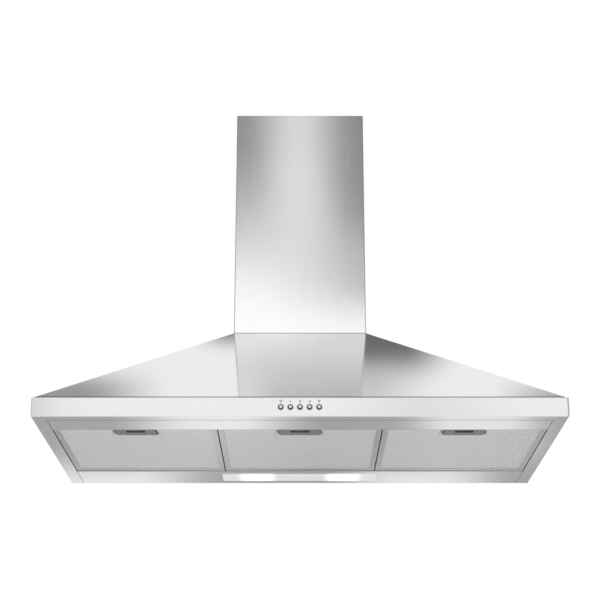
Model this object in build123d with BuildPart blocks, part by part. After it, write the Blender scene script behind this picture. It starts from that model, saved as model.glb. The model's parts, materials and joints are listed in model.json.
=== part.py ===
from build123d import *

import os

# Chimney range hood for a wall, in millimetres.
# X runs to the right, the front faces -Y and +Z is up. The wall is the plane y = 0,
# the underside of the rim is z = 0, and the hood is centred on x = 0.

# ---- overall form ----
WIDTH = 900.0
DEPTH = 500.0
BAND_HEIGHT = 33.0
CANOPY_HEIGHT = 189.0
CHIMNEY_WIDTH = 246.0
CHIMNEY_DEPTH = 270.0
CHIMNEY_HEIGHT = 448.0
SHEET = 1.0
BEND_RADIUS = 1.6

# ---- canopy, whose foot stands a step in from the rim's edges ----
FOOT_STEP = 2.0
FOOT_FLANGE = 14.0
TOP_FLANGE = 18.0

# ---- rim ----
RIM_LIP = 30.0
RIM_RETURN = 23.0

# ---- underside panels ----
STRIP_DEPTH = 65.0
STRIP_UPSTAND = 16.0
STRIP_FOLD = 8.0
PANEL_GAP = 1.0
LAP_WIDTH = 32.0
LAP_REACH = 14.0
LATCH_WINDOW_WIDTH = 24.0
LATCH_WINDOW_HEIGHT = 5.0
LATCH_WINDOW_CUT = 4.0

# ---- wall fixing ----
HOOK_SPACING = 160.0
HOOK_HEIGHT = 185.0
LOWER_HOLE_SPACING = 600.0
LOWER_HOLE_HEIGHT = 60.0
WALL_HOLE_RADIUS = 4.5
BACK_FLANGE = 7.0

# ---- grease filters ----
FILTER_COUNT = 3
FILTER_GAP = 2.0
FILTER_THICKNESS = 10.0
FILTER_REST = 9.0
FILTER_SIDE_LIP = 9.6
FILTER_FRONT_LIP = 4.0
FILTER_REAR_LIP = 26.0
FRAME_WALL = 1.0
SEAT_GAP = 0.3
PLEAT_PITCH = 6.1
PLEAT_SKIN = 0.7

# ---- filter handle and latch ----
HANDLE_WIDTH = 69.4
HANDLE_DEPTH = 39.0
HANDLE_HEIGHT = 8.6
HANDLE_CORNER = 5.0
HANDLE_GAP = 0.4
POCKET_WIDTH = 32.0
POCKET_DEPTH = 15.0
POCKET_SETBACK = 7.0
LATCH_WIDTH = 28.0
LATCH_LENGTH = 20.0
LATCH_THICKNESS = 2.4
LATCH_FLOOR = 4.3
LATCH_TRAVEL = 7.0
LATCH_GAP = 0.15
TONGUE_WIDTH = 20.0
FINGER_TAB = 3.0

# ---- lighting ----
LENS_WIDTH = 300.0
LENS_DEPTH = 60.0
LENS_SETBACK = 19.0
LENS_MARGIN = 20.0
LENS_CORNER = 6.0
LENS_GAP = 0.4
LENS_THICKNESS = 2.2
LENS_LIP = 3.0
HOUSING_HEIGHT = 44.0
HOUSING_FLANGE = 5.0
LAMP_RADIUS = 16.0
LAMP_LENGTH = 102.0
LAMP_BASE_RADIUS = 7.0
LAMP_BASE_LENGTH = 22.0
HOLDER_RADIUS = 14.0
HOLDER_LENGTH = 28.0
HOLDER_BORE_DEPTH = 20.0
HOLDER_BORE_GAP = 0.3
HOLDER_CHAMFER = 1.5

# ---- push buttons ----
BUTTON_COUNT = 5
BUTTON_PITCH = 16.1
BUTTON_HEIGHT = 16.0
BUTTON_RADIUS = 3.8
BUTTON_PROUD = 4.2
BUTTON_CROWN = 1.6
BUTTON_HEAD = 8.5
BUTTON_TRAVEL = 3.0
BUTTON_GAP = 0.15
STEM_RADIUS = 2.5
STEM_LENGTH = 21.0
STEM_GAP = 0.06
BEZEL_RADIUS = 4.9
BEZEL_PROUD = 1.6
BEZEL_SLEEVE = 0.5
BEZEL_EDGE = 0.5
SWITCH_WIDTH = 92.0
SWITCH_DEPTH = 34.0
SWITCH_HEIGHT = 21.0

# ---- blower ----
BLOWER_SETBACK = 75.0
BLOWER_DROP = 82.0
SCROLL_RADIUS = 105.0
SCROLL_STEP = 9.0
SCROLL_HALF_WIDTH = 76.0
SCROLL_WALL = 2.0
CUTOFF_SWEEP = 25.0
CUTOFF_RADIUS = 4.0
OUTLET_RISE = 30.0
SEAM_FLANGE = 5.0
SEAM_THICKNESS = 3.0
INLET_RADIUS = 56.0
INLET_LIP = 8.0
LUG_LENGTH = 24.0
LUG_REACH = 24.0
LUG_THICKNESS = 4.0
LUG_SPACING = 106.0
LUG_OFFSET = 38.0
PLATE_THICKNESS = 1.5
PLATE_MARGIN = 10.0
PLATE_CLEARANCE = 2.5
BLOWER_SCREW_RADIUS = 2.4
BLOWER_SCREW_HEAD = 4.5
SCREW_HOLE_GAP = 0.3
SCREW_REACH = 4.5

# ---- impeller and motor ----
IMPELLER_RADIUS = 73.0
BLADE_INNER_RADIUS = 60.0
BLADE_CURVE = 14.0
BLADE_SWEEP = 55.0
BLADE_SKIN = 1.0
BLADE_COUNT = 32
IMPELLER_HALF_WIDTH = 66.0
END_RING = 11.0
HUB_RADIUS = 10.0
HUB_HALF_LENGTH = 10.0
WEB_THICKNESS = 2.0
WEB_HOLE_RADIUS = 9.0
WEB_HOLE_CIRCLE = 38.0
WEB_HOLES = 6
SHAFT_RADIUS = 4.0
SHAFT_GAP = 0.06
SHAFT_IN_MOTOR = 20.0
MOTOR_RADIUS = 42.0
MOTOR_START = 22.0
MOTOR_SHOULDER = 8.0
BOSS_RADIUS = 12.0
BOSS_LENGTH = 6.0
BRACKET_THICKNESS = 2.0
BRACKET_RING_INNER = 64.0
BRACKET_RING_OUTER = 76.0
BRACKET_DISC = 34.0
BRACKET_ARM = 12.0
BRACKET_ARMS = 3
ARM_OVERLAP = 2.0
GUARD_BAR = 2.4
GUARD_RINGS = (20.0, 34.0, 48.0)
GUARD_SPOKES = 4

# ---- outlet collar and non-return flaps ----
DUCT_RADIUS = 75.0
DUCT_GAP = 0.5
COLLAR_WALL = 2.0
COLLAR_TAPER = 33.0
COLLAR_SPIGOT = 33.0
COLLAR_FLANGE = 8.0
COLLAR_CORNER = 8.0
FLAP_RISE = 11.0
FLAP_THICKNESS = 1.2
FLAP_GAP = 1.0
FLAP_PIN_RADIUS = 1.5
FLAP_PIN_GAP = 0.05
KNUCKLE_COUNT = 4
KNUCKLE_RADIUS = 3.0
KNUCKLE_PITCH = 32.0
KNUCKLE_GAP = 1.0
KNUCKLE_CLEARANCE = 0.6

# ---- electrical parts on the back panel ----
BOX_WIDTH = 80.0
BOX_DEPTH = 44.0
BOX_HEIGHT = 60.0
BOX_X = -200.0
BOX_BASE = 55.0
BOX_WALL = 2.0
LID_THICKNESS = 2.0
LID_RIM = 3.0
TERMINAL_LENGTH = 44.0
TERMINAL_DEPTH = 18.0
TERMINAL_HEIGHT = 16.0
TERMINAL_POLES = 4
TERMINAL_HOLE_RADIUS = 2.0
CAPACITOR_RADIUS = 14.0
CAPACITOR_LENGTH = 52.0
CAPACITOR_EDGE = 1.5
GLAND_RADIUS = 9.0
GLAND_NECK = 7.2
GLAND_BORE = 4.0
GLAND_HEIGHT = 16.0

# ---- chimney covers and their bracket ----
COVER_RETURN = 14.0
UPPER_SIDE_GAP = 3.0
UPPER_REAR_GAP = 7.0
UPPER_RETURN = 13.0
UPPER_TOP_GAP = 2.0
SLOT_COUNT = 6
SLOT_LENGTH = 60.0
SLOT_WIDTH = 4.0
SLOT_PITCH = 10.0
SLOT_DROP = 40.0
BRACKET_HEIGHT = 20.0
BRACKET_DROP = 32.0
BRACKET_SHEET = 1.2
BRACKET_STEP = 3.0
BRACKET_EAR = 24.0
BRACKET_GAP = 4.0
BRACKET_HOLE_SPACING = 160.0
BRACKET_HOLE_RADIUS = 3.0
COVER_SCREW_RADIUS = 1.6
COVER_SCREW_HEAD = 3.4
COVER_SCREW_EDGE = 0.8
COVER_SCREW_SETBACK = 14.0

# ---- places that follow from the sizes above ----
half_width = WIDTH / 2
canopy_top = BAND_HEIGHT + CANOPY_HEIGHT
chimney_top = canopy_top + CHIMNEY_HEIGHT
chimney_side = CHIMNEY_WIDTH / 2
back_face = -SHEET
inner_width = WIDTH - 2 * RIM_RETURN
strip_front = -DEPTH + RIM_RETURN
strip_rear = strip_front + STRIP_DEPTH
lens_y = -LENS_SETBACK - LENS_DEPTH / 2
light_front = lens_y - LENS_DEPTH / 2 - LENS_MARGIN
filter_pitch = inner_width / FILTER_COUNT
filter_width = filter_pitch - FILTER_GAP
filter_bottom = SHEET + SEAT_GAP
filter_front = strip_rear + FILTER_GAP
filter_rear = light_front + FILTER_REST
filter_length = filter_rear - filter_front
latch_z = filter_bottom + LATCH_FLOOR
plate_top = canopy_top + PLATE_THICKNESS
blower_y = -CHIMNEY_DEPTH + BLOWER_SETBACK
blower_z = canopy_top - BLOWER_DROP
outlet_top = canopy_top + OUTLET_RISE
outlet_rear = blower_y + SCROLL_STEP / 2 + SCROLL_RADIUS
collar_base = outlet_top + COLLAR_TAPER
flap_z = collar_base + FLAP_RISE

os.makedirs("parts", exist_ok=True)


def save(piece, label):
    """Name a finished piece and write it to its own file."""
    piece.part.label = label
    export_step(piece.part, f"parts/{label}.step")


def plane_through(first, second, third):
    """Plane through three points, its normal along (second - first) x (third - first)."""
    origin = Vector(*first)
    along = Vector(*second) - origin
    return Plane(origin=origin, x_dir=along, z_dir=along.cross(Vector(*third) - origin))


# ---- canopy shell: the sheet between two blocks with sloping sides ----
top_corner = (chimney_side, -CHIMNEY_DEPTH, canopy_top)
top_corner_left = (-chimney_side, -CHIMNEY_DEPTH, canopy_top)
top_corner_rear = (chimney_side, 0, canopy_top)
hip_foot = (half_width - FOOT_STEP, -DEPTH + FOOT_STEP, BAND_HEIGHT)
front_plane = plane_through(top_corner_left, hip_foot, top_corner)
side_plane = plane_through(top_corner, hip_foot, top_corner_rear)
hip_plane = Plane(origin=top_corner, z_dir=front_plane.z_dir - side_plane.z_dir)


def canopy_block(inset, bottom, top, rear):
    """Right half of the solid canopy between two levels, its slopes moved in by inset."""
    with BuildPart() as block:
        with Locations((0, rear, bottom)):
            Box(half_width, DEPTH, top - bottom, align=(Align.MIN, Align.MAX, Align.MIN))
        for slope in (front_plane, side_plane):
            split(bisect_by=slope.offset(-inset), keep=Keep.BOTTOM)
    return block.part


with BuildPart() as canopy_half:
    add(canopy_block(0, BAND_HEIGHT, canopy_top, back_face))
    add(canopy_block(SHEET, BAND_HEIGHT + SHEET, canopy_top - SHEET, 0), mode=Mode.SUBTRACT)
    with BuildSketch(Plane.XY.offset(canopy_top)):
        Rectangle(
            chimney_side - TOP_FLANGE,
            CHIMNEY_DEPTH - TOP_FLANGE,
            align=(Align.MIN, Align.MAX),
        )
    extrude(amount=-2 * SHEET, mode=Mode.SUBTRACT)
    with BuildSketch(Plane.XY.offset(BAND_HEIGHT)):
        Rectangle(
            half_width - FOOT_STEP - FOOT_FLANGE,
            DEPTH - FOOT_STEP - FOOT_FLANGE,
            align=(Align.MIN, Align.MAX),
        )
    extrude(amount=2 * SHEET, mode=Mode.SUBTRACT)

with BuildPart() as canopy_front:
    add(canopy_half.part)
    split(bisect_by=hip_plane, keep=Keep.TOP)
    mirror(about=Plane.YZ)
save(canopy_front, "canopy_front")

with BuildPart() as canopy_side_right:
    add(canopy_half.part)
    split(bisect_by=hip_plane, keep=Keep.BOTTOM)
save(canopy_side_right, "canopy_side_right")

with BuildPart() as canopy_side_left:
    mirror(canopy_side_right.part, about=Plane.YZ)
save(canopy_side_left, "canopy_side_left")


# ---- rim: a C-section band, mitred at its two front corners ----
corner_mitre = Plane(origin=(half_width, -DEPTH, 0), z_dir=(1, 1, 0))
corner_mitre_left = Plane(origin=(-half_width, -DEPTH, 0), z_dir=(-1, 1, 0))
button_places = [
    ((index - (BUTTON_COUNT - 1) / 2) * BUTTON_PITCH, BUTTON_HEIGHT)
    for index in range(BUTTON_COUNT)
]

with BuildPart() as rim_front:
    with BuildSketch(Plane.YZ.offset(-half_width)):
        with BuildLine():
            FilletPolyline(
                (-DEPTH + RIM_LIP, BAND_HEIGHT),
                (-DEPTH, BAND_HEIGHT),
                (-DEPTH, 0),
                (-DEPTH + RIM_RETURN, 0),
                radius=BEND_RADIUS,
            )
            offset(amount=SHEET, side=Side.LEFT)
        make_face()
    extrude(amount=WIDTH)
    split(bisect_by=corner_mitre, keep=Keep.BOTTOM)
    split(bisect_by=corner_mitre_left, keep=Keep.BOTTOM)
    with BuildSketch(Plane.XZ.offset(DEPTH)):
        with Locations(*button_places):
            Circle(BUTTON_RADIUS + BUTTON_GAP + BEZEL_SLEEVE)
    extrude(amount=-2 * SHEET, mode=Mode.SUBTRACT)
save(rim_front, "rim_front")

with BuildPart() as rim_side_right:
    with BuildSketch(Plane.XZ.offset(SHEET)):
        with BuildLine():
            FilletPolyline(
                (half_width - RIM_LIP, BAND_HEIGHT),
                (half_width, BAND_HEIGHT),
                (half_width, 0),
                (half_width - RIM_RETURN, 0),
                radius=BEND_RADIUS,
            )
            offset(amount=SHEET, side=Side.RIGHT)
        make_face()
    extrude(amount=DEPTH)
    split(bisect_by=corner_mitre, keep=Keep.TOP)
save(rim_side_right, "rim_side_right")

with BuildPart() as rim_side_left:
    mirror(rim_side_right.part, about=Plane.YZ)
save(rim_side_left, "rim_side_left")


# ---- back panel, with its wall holes ----
with BuildPart() as back_panel:
    with BuildSketch(Plane.XZ):
        with BuildLine():
            Polyline(
                (0, 0),
                (half_width, 0),
                (half_width, BAND_HEIGHT),
                (half_width - FOOT_STEP, BAND_HEIGHT),
                (chimney_side, canopy_top),
                (0, canopy_top),
                close=True,
            )
        make_face()
        mirror(about=Plane.YZ)
        with Locations((0, HOOK_HEIGHT)):
            with GridLocations(HOOK_SPACING, 0, 2, 1):
                Circle(WALL_HOLE_RADIUS, mode=Mode.SUBTRACT)
        with Locations((0, LOWER_HOLE_HEIGHT)):
            with GridLocations(LOWER_HOLE_SPACING, 0, 2, 1):
                Circle(WALL_HOLE_RADIUS, mode=Mode.SUBTRACT)
    extrude(amount=SHEET)
    with Locations((0, back_face, canopy_top)):
        Box(
            CHIMNEY_WIDTH - 2 * TOP_FLANGE,
            TOP_FLANGE - SHEET,
            SHEET,
            align=(Align.CENTER, Align.MAX, Align.MAX),
        )
    with Locations((0, back_face, SHEET)):
        Box(inner_width, BACK_FLANGE, SHEET, align=(Align.CENTER, Align.MAX, Align.MIN))
save(back_panel, "back_panel")


# ---- underside: the strip behind the rim, and the panel that holds the light ----
filter_places = [
    ("left", -filter_pitch),
    ("centre", 0.0),
    ("right", filter_pitch),
]

with BuildPart() as front_strip:
    with BuildSketch(Plane.YZ.offset(-inner_width / 2 + PANEL_GAP)):
        with BuildLine():
            FilletPolyline(
                (strip_front + PANEL_GAP, 0),
                (strip_rear, 0),
                (strip_rear, STRIP_UPSTAND),
                (strip_rear - STRIP_FOLD, STRIP_UPSTAND),
                radius=BEND_RADIUS,
            )
            offset(amount=SHEET, side=Side.LEFT)
        make_face()
    extrude(amount=inner_width - 2 * PANEL_GAP)
    with Locations((0, strip_front, SHEET)):
        Box(
            inner_width + 2 * LAP_REACH,
            LAP_WIDTH,
            SHEET,
            align=(Align.CENTER, Align.CENTER, Align.MIN),
        )
    with Locations(*[(x, strip_rear, latch_z + LATCH_THICKNESS / 2) for _, x in filter_places]):
        Box(LATCH_WINDOW_WIDTH, LATCH_WINDOW_CUT, LATCH_WINDOW_HEIGHT, mode=Mode.SUBTRACT)
save(front_strip, "front_strip")

with BuildPart() as light_panel:
    with BuildSketch():
        with Locations((0, light_front)):
            Rectangle(
                inner_width - 2 * PANEL_GAP,
                back_face - light_front,
                align=(Align.CENTER, Align.MIN),
            )
        with Locations((0, lens_y)):
            RectangleRounded(
                LENS_WIDTH + 2 * LENS_GAP,
                LENS_DEPTH + 2 * LENS_GAP,
                LENS_CORNER + LENS_GAP,
                mode=Mode.SUBTRACT,
            )
    extrude(amount=SHEET)
    lap_front = filter_rear + FILTER_GAP
    lap_rear = back_face - BACK_FLANGE - FILTER_GAP
    with Locations((0, lap_front, SHEET)):
        with GridLocations(inner_width, 0, 2, 1):
            Box(
                2 * LAP_REACH,
                lap_rear - lap_front,
                SHEET,
                align=(Align.CENTER, Align.MIN, Align.MIN),
            )
save(light_panel, "light_panel")


# ---- light: lens, reflector housing, two lamps in their holders ----
with BuildPart() as light_lens:
    with BuildSketch():
        with Locations((0, lens_y)):
            RectangleRounded(LENS_WIDTH, LENS_DEPTH, LENS_CORNER)
    extrude(amount=LENS_THICKNESS)
    with BuildSketch(Plane.XY.offset(SHEET)):
        with Locations((0, lens_y)):
            RectangleRounded(
                LENS_WIDTH + 2 * LENS_LIP,
                LENS_DEPTH + 2 * LENS_LIP,
                LENS_CORNER + LENS_LIP,
            )
    extrude(amount=LENS_THICKNESS - SHEET)
save(light_lens, "light_lens")

housing_width = LENS_WIDTH + 2 * (LENS_LIP + LENS_GAP + SHEET)
housing_depth = LENS_DEPTH + 2 * (LENS_LIP + LENS_GAP + SHEET)

with BuildPart() as lamp_housing:
    with BuildSketch(Plane.XY.offset(SHEET)):
        with Locations((0, lens_y)):
            Rectangle(housing_width + 2 * HOUSING_FLANGE, housing_depth + 2 * HOUSING_FLANGE)
    extrude(amount=SHEET)
    with BuildSketch(Plane.XY.offset(SHEET)):
        with Locations((0, lens_y)):
            Rectangle(housing_width, housing_depth)
    extrude(amount=HOUSING_HEIGHT)
    with BuildSketch(Plane.XY.offset(SHEET)):
        with Locations((0, lens_y)):
            Rectangle(housing_width - 2 * SHEET, housing_depth - 2 * SHEET)
    extrude(amount=HOUSING_HEIGHT - SHEET, mode=Mode.SUBTRACT)
save(lamp_housing, "lamp_housing")

lamp_z = SHEET + LENS_THICKNESS + (HOUSING_HEIGHT - LENS_THICKNESS) / 2
holder_wall = housing_width / 2 - SHEET

with BuildPart() as lamp_holder_right:
    with BuildSketch(Plane.YZ.offset(holder_wall)):
        with Locations((lens_y, lamp_z)):
            Circle(HOLDER_RADIUS)
    extrude(amount=-HOLDER_LENGTH)
    with BuildSketch(Plane.YZ.offset(holder_wall - HOLDER_LENGTH)):
        with Locations((lens_y, lamp_z)):
            Circle(LAMP_BASE_RADIUS + HOLDER_BORE_GAP)
    extrude(amount=HOLDER_BORE_DEPTH, mode=Mode.SUBTRACT)
    wall_edge = lamp_holder_right.edges().filter_by(GeomType.CIRCLE).group_by(Axis.X)[-1]
    chamfer(wall_edge, HOLDER_CHAMFER)
save(lamp_holder_right, "lamp_holder_right")

lamp_root = holder_wall - HOLDER_LENGTH + HOLDER_BORE_DEPTH
lamp_tip = lamp_root - LAMP_LENGTH

with BuildPart() as lamp_right:
    with BuildSketch(Plane.XY.offset(lamp_z)):
        with BuildLine():
            base = Polyline(
                (lamp_root, lens_y),
                (lamp_root, lens_y + LAMP_BASE_RADIUS),
                (lamp_root - LAMP_BASE_LENGTH, lens_y + LAMP_BASE_RADIUS),
            )
            shoulder = Line(base @ 1, (lamp_root - 2 * LAMP_BASE_LENGTH, lens_y + LAMP_RADIUS))
            side = Line(shoulder @ 1, (lamp_tip + LAMP_RADIUS, lens_y + LAMP_RADIUS))
            tip = RadiusArc(side @ 1, (lamp_tip, lens_y), -LAMP_RADIUS)
            Line(tip @ 1, base @ 0)
        make_face()
    revolve(axis=Axis((0, lens_y, lamp_z), (1, 0, 0)))
save(lamp_right, "lamp_right")

for side_label, piece in (("lamp_holder_left", lamp_holder_right), ("lamp_left", lamp_right)):
    with BuildPart() as left_piece:
        mirror(piece.part, about=Plane.YZ)
    save(left_piece, side_label)


# ---- push buttons: chrome bezels, a switch unit behind the band, five buttons ----
band_inside = -DEPTH + SHEET
head_radius_outside = BUTTON_RADIUS + BUTTON_GAP

with BuildPart() as button_bezels:
    with BuildSketch(Plane.XZ.offset(DEPTH)):
        with Locations(*button_places):
            Circle(BEZEL_RADIUS)
    extrude(amount=BEZEL_PROUD)
    outer_edges = button_bezels.edges().filter_by(GeomType.CIRCLE).group_by(Axis.Y)[0]
    chamfer(outer_edges, BEZEL_EDGE)
    with BuildSketch(Plane.XZ.offset(DEPTH)):
        with Locations(*button_places):
            Circle(head_radius_outside + BEZEL_SLEEVE)
    extrude(amount=-SHEET)
    with BuildSketch(Plane.XZ.offset(DEPTH)):
        with Locations(*button_places):
            Circle(head_radius_outside)
    extrude(amount=2 * BEZEL_PROUD, both=True, mode=Mode.SUBTRACT)
save(button_bezels, "button_bezels")

head_rear = -DEPTH - BUTTON_PROUD + BUTTON_HEAD
stem_rear = head_rear + STEM_LENGTH
seat_depth = head_rear + BUTTON_TRAVEL + STEM_GAP - band_inside
crown_radius = (BUTTON_RADIUS**2 + BUTTON_CROWN**2) / (2 * BUTTON_CROWN)

with BuildPart() as switch_unit:
    with Locations((0, band_inside, BUTTON_HEIGHT)):
        Box(SWITCH_WIDTH, SWITCH_DEPTH, SWITCH_HEIGHT, align=(Align.CENTER, Align.MIN, Align.CENTER))
    fillet(switch_unit.edges().filter_by(Axis.Y), BEND_RADIUS)
    with BuildSketch(Plane.XZ.offset(-band_inside)):
        with Locations(*button_places):
            Circle(head_radius_outside)
    extrude(amount=-seat_depth, mode=Mode.SUBTRACT)
    with BuildSketch(Plane.XZ.offset(-band_inside)):
        with Locations(*button_places):
            Circle(STEM_RADIUS + STEM_GAP)
    extrude(amount=-(stem_rear + 2 * BUTTON_TRAVEL - band_inside), mode=Mode.SUBTRACT)
save(switch_unit, "switch_unit")

button_names = ("button_off", "button_low", "button_medium", "button_high", "button_light")
for name, (x, z) in zip(button_names, button_places):
    with BuildPart() as button:
        with BuildSketch(Plane.XY.offset(z)):
            with BuildLine():
                crown = RadiusArc(
                    (x, -DEPTH - BUTTON_PROUD),
                    (x + BUTTON_RADIUS, -DEPTH - BUTTON_PROUD + BUTTON_CROWN),
                    -crown_radius,
                )
                Polyline(
                    crown @ 1,
                    (x + BUTTON_RADIUS, head_rear),
                    (x + STEM_RADIUS, head_rear),
                    (x + STEM_RADIUS, stem_rear),
                    (x, stem_rear),
                    crown @ 0,
                )
            make_face()
        revolve(axis=Axis((x, 0, z), (0, 1, 0)))
    save(button, name)


# ---- blower housing: a scroll of four quarter arcs that tighten towards the cutoff ----
half_step = SCROLL_STEP / 2

with BuildSketch() as scroll_inside:
    with BuildLine():
        rear_arc = CenterArc(
            (blower_y + half_step, blower_z + half_step), SCROLL_RADIUS, 0, -90
        )
        lower_arc = CenterArc(
            (blower_y + half_step, blower_z - half_step), SCROLL_RADIUS - SCROLL_STEP, -90, -90
        )
        front_arc = CenterArc(
            (blower_y - half_step, blower_z - half_step), SCROLL_RADIUS - 2 * SCROLL_STEP, 180, -90
        )
        top_arc = CenterArc(
            (blower_y - half_step, blower_z + half_step),
            SCROLL_RADIUS - 3 * SCROLL_STEP,
            90,
            -CUTOFF_SWEEP,
        )
        Polyline(
            top_arc @ 1,
            ((top_arc @ 1).X, outlet_top),
            (outlet_rear, outlet_top),
            rear_arc @ 0,
        )
    make_face()
    cutoff_corner = scroll_inside.vertices().sort_by_distance(top_arc @ 1)[0]
    fillet(cutoff_corner, CUTOFF_RADIUS)

with BuildSketch() as scroll_outside:
    add(scroll_inside.sketch)
    offset(amount=SCROLL_WALL, kind=Kind.INTERSECTION)
    with Locations((blower_y, outlet_top)):
        Rectangle(WIDTH, DEPTH, align=(Align.CENTER, Align.MIN), mode=Mode.SUBTRACT)

with BuildSketch() as scroll_seam:
    add(scroll_outside.sketch)
    offset(amount=SEAM_FLANGE, kind=Kind.INTERSECTION)
    with Locations((blower_y, outlet_top - SEAM_FLANGE)):
        Rectangle(WIDTH, DEPTH, align=(Align.CENTER, Align.MIN), mode=Mode.SUBTRACT)

outlet_front = (top_arc @ 1).X
outlet_y = (outlet_front + outlet_rear) / 2
scroll_side = SCROLL_HALF_WIDTH + SCROLL_WALL
lug_x = scroll_side + LUG_REACH / 2
lug_y = blower_y + LUG_OFFSET
lugs_right = [(lug_x, lug_y - LUG_SPACING / 2), (lug_x, lug_y + LUG_SPACING / 2)]
lug_places = lugs_right + [(-x, y) for x, y in lugs_right]

with BuildPart() as blower_housing_right:
    with BuildSketch(Plane.YZ):
        add(scroll_outside.sketch)
    extrude(amount=scroll_side)
    with BuildSketch(Plane.YZ):
        add(scroll_seam.sketch)
    extrude(amount=SEAM_THICKNESS)
    with BuildSketch(Plane.YZ):
        add(scroll_inside.sketch)
    extrude(amount=SCROLL_HALF_WIDTH, mode=Mode.SUBTRACT)
    with BuildSketch(Plane.YZ.offset(scroll_side)):
        with Locations((blower_y, blower_z)):
            Circle(INLET_RADIUS + SCROLL_WALL)
    extrude(amount=-INLET_LIP - SCROLL_WALL)
    with BuildSketch(Plane.YZ.offset(scroll_side)):
        with Locations((blower_y, blower_z)):
            Circle(INLET_RADIUS)
    extrude(amount=-2 * INLET_LIP, mode=Mode.SUBTRACT)
    with BuildSketch(Plane.XY.offset(plate_top)):
        with Locations(*lugs_right):
            Rectangle(LUG_REACH, LUG_LENGTH)
            Circle(BLOWER_SCREW_RADIUS + SCREW_HOLE_GAP, mode=Mode.SUBTRACT)
    extrude(amount=LUG_THICKNESS)
save(blower_housing_right, "blower_housing_right")

with BuildPart() as blower_housing_left:
    mirror(blower_housing_right.part, about=Plane.YZ)
save(blower_housing_left, "blower_housing_left")

with BuildPart() as blower_plate:
    with BuildSketch(Plane.XY.offset(canopy_top)):
        with Locations((0, -CHIMNEY_DEPTH / 2)):
            Rectangle(CHIMNEY_WIDTH - 2 * PLATE_MARGIN, CHIMNEY_DEPTH - 2 * PLATE_MARGIN)
        with Locations(*lug_places):
            Circle(BLOWER_SCREW_RADIUS + SCREW_HOLE_GAP, mode=Mode.SUBTRACT)
    extrude(amount=PLATE_THICKNESS)
    with BuildSketch(Plane.YZ.offset(-scroll_side - PLATE_CLEARANCE)):
        add(scroll_seam.sketch)
        offset(amount=PLATE_CLEARANCE, kind=Kind.INTERSECTION)
    extrude(amount=2 * (scroll_side + PLATE_CLEARANCE), mode=Mode.SUBTRACT)
save(blower_plate, "blower_plate")

with BuildPart() as blower_screws:
    with BuildSketch(Plane.XY.offset(plate_top + LUG_THICKNESS)):
        with Locations(*lug_places):
            Circle(BLOWER_SCREW_HEAD)
    extrude(amount=BLOWER_SCREW_RADIUS)
    with BuildSketch(Plane.XY.offset(plate_top + LUG_THICKNESS)):
        with Locations(*lug_places):
            Circle(BLOWER_SCREW_RADIUS)
    extrude(amount=-LUG_THICKNESS - PLATE_THICKNESS - SCREW_REACH)
save(blower_screws, "blower_screws")


# ---- impeller: curved blades between two end rings, on a web and hub ----
with BuildSketch() as blade:
    with BuildLine():
        JernArc((BLADE_INNER_RADIUS, 0), (1, 0), BLADE_CURVE, BLADE_SWEEP)
        offset(amount=BLADE_SKIN, side=Side.LEFT)
    make_face()

with BuildPart() as impeller:
    with BuildSketch(Plane.YZ.offset(-IMPELLER_HALF_WIDTH)):
        with Locations((blower_y, blower_z)):
            with PolarLocations(0, BLADE_COUNT):
                add(blade.sketch)
    extrude(amount=2 * IMPELLER_HALF_WIDTH)
    for start, thickness in (
        (-IMPELLER_HALF_WIDTH, WEB_THICKNESS),
        (IMPELLER_HALF_WIDTH, -WEB_THICKNESS),
    ):
        with BuildSketch(Plane.YZ.offset(start)):
            with Locations((blower_y, blower_z)):
                Circle(IMPELLER_RADIUS)
                Circle(IMPELLER_RADIUS - END_RING, mode=Mode.SUBTRACT)
        extrude(amount=thickness)
    with BuildSketch(Plane.YZ):
        with Locations((blower_y, blower_z)):
            Circle(IMPELLER_RADIUS - END_RING)
            with PolarLocations(WEB_HOLE_CIRCLE, WEB_HOLES):
                Circle(WEB_HOLE_RADIUS, mode=Mode.SUBTRACT)
    extrude(amount=WEB_THICKNESS / 2, both=True)
    with BuildSketch(Plane.YZ):
        with Locations((blower_y, blower_z)):
            Circle(HUB_RADIUS)
    extrude(amount=HUB_HALF_LENGTH, both=True)
    with BuildSketch(Plane.YZ):
        with Locations((blower_y, blower_z)):
            Circle(SHAFT_RADIUS)
    extrude(amount=2 * HUB_HALF_LENGTH, both=True, mode=Mode.SUBTRACT)
save(impeller, "impeller")

with BuildPart() as motor_shaft:
    with BuildSketch(Plane.YZ.offset(-HUB_HALF_LENGTH)):
        with Locations((blower_y, blower_z)):
            Circle(SHAFT_RADIUS)
    extrude(amount=HUB_HALF_LENGTH + MOTOR_START + SHAFT_IN_MOTOR)
save(motor_shaft, "motor_shaft")


# ---- motor on its three-armed bracket, and the guard over the other inlet ----
shaft_bore = SHAFT_RADIUS + SHAFT_GAP

with BuildPart() as motor:
    with BuildSketch(Plane.XY.offset(blower_z)):
        with BuildLine():
            Polyline(
                (scroll_side, blower_y),
                (scroll_side, blower_y + BRACKET_DISC),
                (scroll_side - MOTOR_SHOULDER, blower_y + MOTOR_RADIUS),
                (MOTOR_START + MOTOR_SHOULDER, blower_y + MOTOR_RADIUS),
                (MOTOR_START, blower_y + BRACKET_DISC),
                (MOTOR_START, blower_y + BOSS_RADIUS),
                (MOTOR_START - BOSS_LENGTH, blower_y + BOSS_RADIUS),
                (MOTOR_START - BOSS_LENGTH, blower_y),
                close=True,
            )
        make_face()
    revolve(axis=Axis((0, blower_y, blower_z), (1, 0, 0)))
    with BuildSketch(Plane.YZ.offset(MOTOR_START - BOSS_LENGTH)):
        with Locations((blower_y, blower_z)):
            Circle(shaft_bore)
    extrude(amount=BOSS_LENGTH + SHAFT_IN_MOTOR + SEAT_GAP, mode=Mode.SUBTRACT)
save(motor, "motor")

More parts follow.
